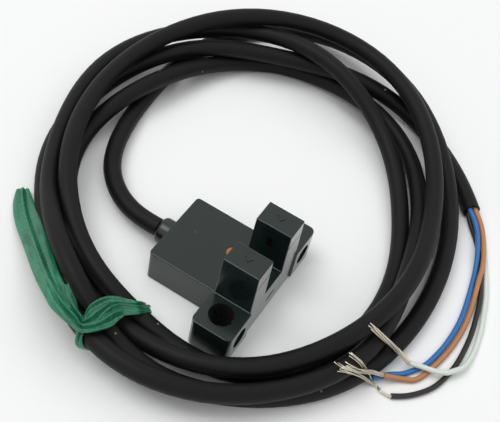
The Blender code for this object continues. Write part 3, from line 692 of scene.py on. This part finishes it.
def mesh_piece(name: str, bm: bmesh.types.BMesh, finish: Finish) -> bpy.types.Object:
    """Turn a bmesh in mm into a smooth-shaded piece that rides on the part.

    Args:
        name: The piece's name.
        bm: The shape, freed by this call.
        finish: What the piece is made of.

    Returns:
        The mesh object.
    """
    bmesh.ops.scale(bm, vec=(MM, MM, MM), verts=bm.verts)
    bmesh.ops.recalc_face_normals(bm, faces=bm.faces)
    mesh = bpy.data.meshes.new(name)
    bm.to_mesh(mesh)
    bm.free()
    mesh.shade_smooth()
    mesh.set_sharp_from_angle(angle=SHARP_ANGLE)
    mesh.materials.append(finish.material())
    piece = bpy.data.objects.new(name, mesh)
    bpy.context.scene.collection.objects.link(piece)
    return ride(piece)


def dress(node: bpy.types.Object, finish: Finish) -> None:
    """Give a CAD node its finish in each of its material slots.

    Args:
        node: The CAD node.
        finish: What the real piece is made of.
    """
    for slot in node.material_slots:
        slot.material = finish.material()
    LOG.info("dressed %s in %s", node.name, finish.name)


@dataclass
class CoiledCable:
    """The jacketed cable in its loose coil, cut square where the cores come out."""

    diameter: float = 3.0
    length: float = 969.0
    bore: float = 2.1
    bore_depth: float = 1.2
    steps: int = 6
    ease: int = 30
    overhang: float = 0.7
    lip_depth: float = 0.08
    lip_width: float = 0.06
    rim_round: float = 0.05
    rim_gap: float = 0.01
    sleeve_gap: float = 0.06
    sleeve_depth: float = 0.6
    end_steps: int = 36

    def line(self) -> list[Vector]:
        """Trace the middle of the cable, eased so that no kink shows.

        Returns:
            The centre line in mm, never so low that the cable sinks into the floor.
        """
        line = relaxed(smooth_run(vectors(CABLE_ROUTE), self.steps), self.ease)
        line.append(line[-1] + (line[-1] - line[-2]).normalized() * self.overhang)
        return [Vector((p.x, p.y, max(p.z, self.diameter / 2))) for p in line]

    def build(self) -> bpy.types.Object:
        """Make the jacket and its cut end.

        Returns:
            The jacket.
        """
        line = self.line()
        jacket = curve_piece("jacket", [line], self.diameter, PVC_JACKET, sides=7, caps=False)
        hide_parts("cable_jacket")
        self.cut_end(line)
        return jacket

    def cut_end(self, line: Sequence[Vector]) -> bpy.types.Object:
        """Close the jacket with the ring of its wall and the hollow behind it.

        Args:
            line: The cable's centre line.

        Returns:
            The end piece.
        """
        ahead = (line[-1] - line[-2]).normalized()
        turn = ahead.to_track_quat("Z", "Y").to_matrix()
        wall, hollow = self.diameter / 2, self.bore / 2
        # Radius and height: floor and wall of the hollow, the cut face, down inside the jacket
        profile = [
            (0.0, -self.bore_depth), (hollow, -self.bore_depth), (hollow, -self.lip_depth),
            (hollow + self.lip_width, 0.0), (wall - self.rim_round, 0.0),
            (wall - self.rim_gap, -self.rim_round), (wall - self.sleeve_gap, -self.sleeve_depth),
        ]
        bm = bmesh.new()
        verts = [bm.verts.new((r, 0.0, h)) for r, h in profile]
        edges = [bm.edges.new(pair) for pair in zip(verts, verts[1:])]
        bmesh.ops.spin(
            bm, geom=verts + edges, cent=(0, 0, 0), axis=(0, 0, 1), angle=2 * math.pi,
            steps=self.end_steps, use_merge=True)
        bmesh.ops.remove_doubles(bm, verts=bm.verts, dist=MERGE_DISTANCE)
        bmesh.ops.transform(
            bm, matrix=Matrix.Translation(line[-1]) @ turn.to_4x4(), verts=bm.verts)
        return mesh_piece("jacket_cut_end", bm, PVC_JACKET)


@dataclass
class BareEnd:
    """The copper strands beyond a core's insulation."""

    strands: int = 7
    strand_d: float = 0.17
    pack_radius: float = 0.2
    splay: float = 0.9
    twist_turns: float = 0.6
    least_splay: float = 0.15
    splay_power: float = 2.2
    least_reach: float = 0.82
    most_drift: float = 0.8
    least_pieces: int = 3
    seed: int = 1
    steps: int = 6

    def runs(self, route: Sequence[Vector]) -> list[list[Vector]]:
        """Lay the strands round the middle of the wire, spreading towards its end.

        Args:
            route: The middle of the bare wire.

        Returns:
            One line for each strand.
        """
        chance = random.Random(self.seed)
        middle = smooth_run(route, self.steps)
        side = (middle[1] - middle[0]).orthogonal().normalized()
        runs = []
        for strand in range(self.strands):
            packed = 0.0 if strand == 0 else self.pack_radius
            start = 2 * math.pi * strand / max(self.strands - 1, 1)
            spread = self.splay * chance.uniform(self.least_splay, 1.0)
            reach = chance.uniform(self.least_reach, 1.0)
            drift = chance.uniform(-self.most_drift, self.most_drift)
            run = []
            count = max(self.least_pieces, round((len(middle) - 1) * reach))
            for i, centre in enumerate(middle[:count + 1]):
                t = i / (len(middle) - 1)
                ahead = (middle[min(i + 1, len(middle) - 1)] - middle[max(i - 1, 0)]).normalized()
                across = (side - ahead * side.dot(ahead)).normalized()
                angle = start + 2 * math.pi * self.twist_turns * t + drift * t * t
                out = across * math.cos(angle) + ahead.cross(across) * math.sin(angle)
                run.append(centre + out * (packed + spread * t ** self.splay_power))
            runs.append(run)
        return runs


@dataclass
class Core:
    """One insulated core with its bare end."""

    colour: str
    finish: Finish
    bare: BareEnd
    length: float
    diameter: float = 0.85
    tuck: float = 0.9
    wire_tuck: float = 0.4
    ease: int = 10
    steps: int = 8

    def build(self, mouth: Vector, out_of: Vector) -> bpy.types.Object:
        """Make the insulation from inside the jacket, then the strands.

        Args:
            mouth: Where the jacket ends. Not used.
            out_of: The direction in which the cable leaves the jacket.

        Returns:
            The insulated core.
        """
        route = vectors(CORE_ROUTES["core_" + self.colour])
        tucked = [route[0] - out_of * self.tuck, *route]
        line = relaxed(smooth_run(tucked, self.steps), self.ease)
        core = curve_piece("insulation_" + self.colour, [line], self.diameter, self.finish)
        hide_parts("core_" + self.colour)
        wire = vectors(WIRE_ROUTES["wire_end_" + self.colour])
        start = line[-1] + (line[-2] - line[-1]).normalized() * self.wire_tuck
        strands = curve_piece(
            "strands_" + self.colour, self.bare.runs([start, *wire]), self.bare.strand_d,
            TINNED_COPPER, sides=2)
        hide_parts("wire_end_" + self.colour)
        return core


@dataclass
class TieStrip:
    """One length of the flat green strip, with its wire, a seam and the folds of the knot."""

    name: str
    full_width: float = 3.0
    thickness: float = 0.12
    edge_share: float = 0.5
    wire_height: float = 0.42
    wire_spread: float = 0.2
    seam_depth: float = 0.26
    seam_offset: float = 0.42
    seam_spread: float = 0.11
    cup: float = 0.2
    knot: Point = (-23.8, 8.0, 8.1)
    crumple: float = 0.7
    crumple_reach: float = 6.5
    folds: float = 3.0
    fold_drift: float = 0.9
    across: int = 44
    steps: int = 8

    def build(self) -> bpy.types.Object:
        """Loft the strip's section through the stations of the tie.

        Returns:
            The strip, standing for the plain tie.
        """
        stations = TIE_STRIPS[self.name]
        centres = smooth_run([Vector(c) for c, _, _ in stations], self.steps)
        lies = smooth_run([Vector(a).normalized() for _, a, _ in stations], self.steps)
        widths = smooth_run([w for _, _, w in stations], self.steps)
        bm = bmesh.new()
        rings = []
        last = len(centres) - 1
        for i, (centre, lie, width) in enumerate(zip(centres, lies, widths)):
            ahead = (centres[min(i + 1, last)] - centres[max(i - 1, 0)]).normalized()
            side = (lie - ahead * lie.dot(ahead)).normalized()
            up = ahead.cross(side).normalized()
            away = (centre - Vector(self.knot)).length / self.crumple_reach
            crumple = self.crumple * math.exp(-away ** 2) * min(1.0, width / self.full_width)
            outline = self.section(width, crumple, self.fold_drift * i / self.steps)
            rings.append([bm.verts.new(centre + side * a + up * b) for a, b in outline])
        bm.faces.new(rings[0])
        bm.faces.new(rings[-1][::-1])
        for here, there in zip(rings, rings[1:]):
            for a, b, c, d in zip(here, here[1:] + here[:1], there[1:] + there[:1], there):
                bm.faces.new((a, b, c, d))
        strip = mesh_piece(self.name, bm, PE_STRIP)
        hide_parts("cable_tie")
        return strip

    def section(self, width: float, crumple: float, turn: float) -> list[tuple[float, float]]:
        """Return the strip's outline across one place: arched wings, wire, seam and folds.

        Args:
            width: How wide the strip is there.
            crumple: Height of the folds that the knot presses into it.
            turn: Where the folds start across it, in radians.

        Returns:
            Places across the strip with their heights, once round the outline.
        """
        upper = []
        lower = []
        for i in range(self.across + 1):
            u = 2 * i / self.across - 1
            off = u * width / 2
            wing = self.cup * math.sin(math.pi * abs(u)) * width / self.full_width
            wing += crumple * (1 + math.sin(self.folds * math.pi * u + turn)) / 2
            wire = self.wire_height * math.exp(-(off / self.wire_spread) ** 2)
            seam = (off - self.seam_offset) / self.seam_spread
            wire -= self.seam_depth * math.exp(-seam ** 2)
            edge = self.thickness * (self.edge_share if abs(u) == 1 else 1.0)
            upper.append((off, wing + wire + edge / 2))
            lower.append((off, wing - self.seam_depth * math.exp(-seam ** 2) - edge / 2))
        return upper + lower[::-1]


@dataclass
class Gland:
    """The collar moulded round the cable where it leaves the case."""

    seat: Point = (0.0, 8.25, 3.1)
    radius: float = 2.2
    length: float = 2.22
    round_over: float = 0.75
    lip: float = 1.52
    bore: float = 1.3
    spigot: float = 1.75
    spigot_length: float = 1.15
    arc_steps: int = 10
    round_steps: int = 48

    def build(self) -> bpy.types.Object:
        """Turn the collar's rounded outline about the cable.

        Returns:
            The collar, standing for the plain one.
        """
        drop = self.radius - self.lip
        outline = [
            (self.bore, -self.spigot_length), (self.spigot, -self.spigot_length),
            (self.spigot, 0.0), (self.radius, 0.0)]
        for i in range(self.arc_steps + 1):
            turn = math.pi / 2 * i / self.arc_steps
            outline.append((
                self.lip + drop * math.cos(turn),
                self.length - self.round_over * (1 - math.sin(turn))))
        outline.append((self.bore, self.length))
        bm = bmesh.new()
        verts = [bm.verts.new((r, along, 0.0)) for r, along in outline]
        edges = [bm.edges.new(pair) for pair in zip(verts, verts[1:] + verts[:1])]
        bmesh.ops.spin(
            bm, geom=verts + edges, cent=(0, 0, 0), axis=(0, 1, 0), angle=2 * math.pi,
            steps=self.round_steps, use_merge=True)
        bmesh.ops.remove_doubles(bm, verts=bm.verts, dist=MERGE_DISTANCE)
        bmesh.ops.translate(bm, vec=self.seat, verts=bm.verts)
        collar = mesh_piece("gland_collar", bm, PVC_GLAND)
        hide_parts("cable_gland")
        return collar


@dataclass
class SensorBody:
    """The moulded case, its cover and gland, and everything that they hold."""

    finishes: dict[str, Finish] = field(default_factory=lambda: {
        "housing": PBT_MOULDED,
        "base_cover": PBT_COVER,
        "cable_gland": PVC_GLAND,
        "circuit_board": FR4_BOARD,
        "sensor_chip": EPOXY_CHIP,
        "output_transistor_1": EPOXY_CHIP,
        "output_transistor_2": EPOXY_CHIP,
        "chip_resistor_1": EPOXY_CHIP,
        "chip_resistor_2": EPOXY_CHIP,
        "chip_resistor_3": EPOXY_CHIP,
        "chip_capacitor": CERAMIC_SINTERED,
        "indicator_led": EPOXY_CLEAR,
        "indicator_window": PC_AMBER,
        "emitter_led": EPOXY_CLEAR,
        "photo_detector": EPOXY_SMOKED,
        "emitter_window": PMMA_FILTER,
        "detector_window": PMMA_FILTER,
        "emitter_led_pin_front": TINNED_COPPER,
        "emitter_led_pin_back": TINNED_COPPER,
        "photo_detector_pin_front": TINNED_COPPER,
        "photo_detector_pin_back": TINNED_COPPER,
        "inner_core_brown": PVC_BROWN,
        "inner_core_black": PVC_BLACK,
        "inner_core_blue": PVC_BLUE,
        "inner_core_white": PVC_WHITE,
    })

    def dress(self, nodes: Mapping[str, bpy.types.Object]) -> None:
        """Give each of the case's CAD nodes its finish.

        Args:
            nodes: The CAD nodes by name.
        """
        for name, finish in self.finishes.items():
            dress(nodes[name], finish)


class Backdrop(Enum):
    """Brightness of the white surround: as it looks, as a light low down, and the rest overhead."""

    SEEN = 0.94
    HORIZON = 0.32
    OVERHEAD = 1.2


@dataclass
class Studio:
    """White paper, a soft overhead box and the camera at the photograph's angle."""

    place: Point = (-86.94, -35.69, 130.44)
    aim: Point = (14.33, 1.89, 0.0)
    roll: float = 14.03
    view_angle: float = 27.536
    floor_radius: float = 1500.0
    floor_drop: float = 0.02
    floor_sides: int = 96
    lamp_from: Point = (-260.0, 620.0, 1350.0)
    lamp_size: float = 850.0
    lamp_watts: float = 6.0
    sky_steepness: float = 3.0

    def camera(self) -> None:
        """Put the camera where the photograph was taken from."""
        data = bpy.data.cameras.new("camera")
        data.sensor_fit = "HORIZONTAL"
        data.angle = math.radians(self.view_angle)
        data.clip_start = 1 * MM
        camera = bpy.data.objects.new("camera", data)
        along = Vector(self.aim) - Vector(self.place)
        turn = along.to_track_quat("-Z", "Y") @ Quaternion((0, 0, 1), math.radians(self.roll))
        camera.rotation_mode = "QUATERNION"
        camera.rotation_quaternion = turn
        camera.location = Vector(self.place) * MM
        bpy.context.scene.collection.objects.link(camera)
        bpy.context.scene.camera = camera

    def floor(self) -> None:
        """Lay the sheet of paper that the part stands on."""
        bm = bmesh.new()
        bmesh.ops.create_circle(
            bm, cap_ends=True, segments=self.floor_sides, radius=self.floor_radius)
        bmesh.ops.translate(bm, vec=(0, 0, -self.floor_drop), verts=bm.verts)
        bmesh.ops.scale(bm, vec=(MM, MM, MM), verts=bm.verts)
        mesh = bpy.data.meshes.new("paper_floor")
        bm.to_mesh(mesh)
        bm.free()
        mesh.materials.append(PAPER_WHITE.material())
        paper = bpy.data.objects.new("paper_floor", mesh)
        bpy.context.scene.collection.objects.link(paper)

    def lamp(self) -> None:
        """Hang the soft box that gives the shadows their side."""
        data = bpy.data.lights.new("soft box", "AREA")
        data.shape = "DISK"
        data.size = self.lamp_size * MM
        data.energy = self.lamp_watts
        box = bpy.data.objects.new("soft box", data)
        box.location = Vector(self.lamp_from) * MM
        box.rotation_mode = "QUATERNION"
        box.rotation_quaternion = (-Vector(self.lamp_from)).to_track_quat("-Z", "Y")
        bpy.context.scene.collection.objects.link(box)

    def sky(self) -> None:
        """Surround the scene with white: even to look at, and as a light brightest overhead."""
        world = bpy.data.worlds.new("white surround")
        bpy.context.scene.world = world
        world.use_nodes = True
        tree = world.node_tree
        tree.nodes.clear()
        paths = add_node(tree, "ShaderNodeLightPath")
        shiny = add_node(
            tree, "ShaderNodeMath", {"operation": "MAXIMUM"},
            {0: paths.outputs["Is Camera Ray"], 1: paths.outputs["Is Glossy Ray"]})
        seen = add_node(
            tree, "ShaderNodeMath", {"operation": "MAXIMUM"},
            {0: shiny.outputs["Value"], 1: paths.outputs["Is Transmission Ray"]})
        upward = add_node(
            tree, "ShaderNodeSeparateXYZ", None,
            {0: add_node(tree, "ShaderNodeTexCoord").outputs["Generated"]})
        height = add_node(
            tree, "ShaderNodeMath", {"operation": "MAXIMUM", 1: 0.0}, {0: upward.outputs["Z"]})
        steep = add_node(
            tree, "ShaderNodeMath", {"operation": "POWER", 1: self.sky_steepness},
            {0: height.outputs["Value"]})
        level = add_node(
            tree, "ShaderNodeMath",
            {"operation": "MULTIPLY_ADD", 1: Backdrop.OVERHEAD.value, 2: Backdrop.HORIZON.value},
            {0: steep.outputs["Value"]})
        light = add_node(
            tree, "ShaderNodeBackground", {"Color": WHITE},
            {"Strength": level.outputs["Value"]})
        shown = add_node(
            tree, "ShaderNodeBackground",
            {"Color": WHITE, "Strength": Backdrop.SEEN.value})
        mixed = add_node(
            tree, "ShaderNodeMixShader", None,
            {0: seen.outputs["Value"], 1: light.outputs[0], 2: shown.outputs[0]})
        add_node(tree, "ShaderNodeOutputWorld", None, {"Surface": mixed.outputs[0]})

    def build(self) -> None:
        """Set up floor, light and surround, and how colours are shown."""
        self.floor()
        self.lamp()
        self.sky()
        bpy.context.scene.view_settings.view_transform = "Standard"


def clear_start_objects() -> None:
    """Remove the objects that a new file starts with."""
    for obj in list(bpy.data.objects):
        bpy.data.objects.remove(obj, do_unlink=True)


def main() -> None:
    """Load the frame, then build and dress the switch, its cable and the studio."""
    logging.basicConfig(level=logging.INFO, format="%(name)s: %(message)s")
    clear_start_objects()
    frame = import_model()
    studio = Studio()
    studio.camera()

    cable = CoiledCable()
    jacket = cable.build()
    line = cable.line()
    mouth = line[-1]
    out_of = (line[-1] - line[-2]).normalized()
    cores = [
        Core("blue", PVC_BLUE, BareEnd(seed=11, splay=0.2, strands=3), 45.0),
        Core("brown", PVC_BROWN, BareEnd(seed=23, splay=0.7), 45.0),
        Core(
            "black", PVC_BLACK,
            BareEnd(seed=37, splay=0.35, pack_radius=0.14, strand_d=0.14), 46.0),
        Core(
            "white", PVC_WHITE,
            BareEnd(seed=41, splay=0.14, pack_radius=0.27, strand_d=0.22), 43.0),
    ]
    for core in cores:
        core.build(mouth, out_of)
    ties = [TieStrip(name).build() for name in TIE_STRIPS]

    SensorBody().dress(frame["nodes"])
    Gland().build()
    studio.build()


if __name__ == "__main__":
    main()
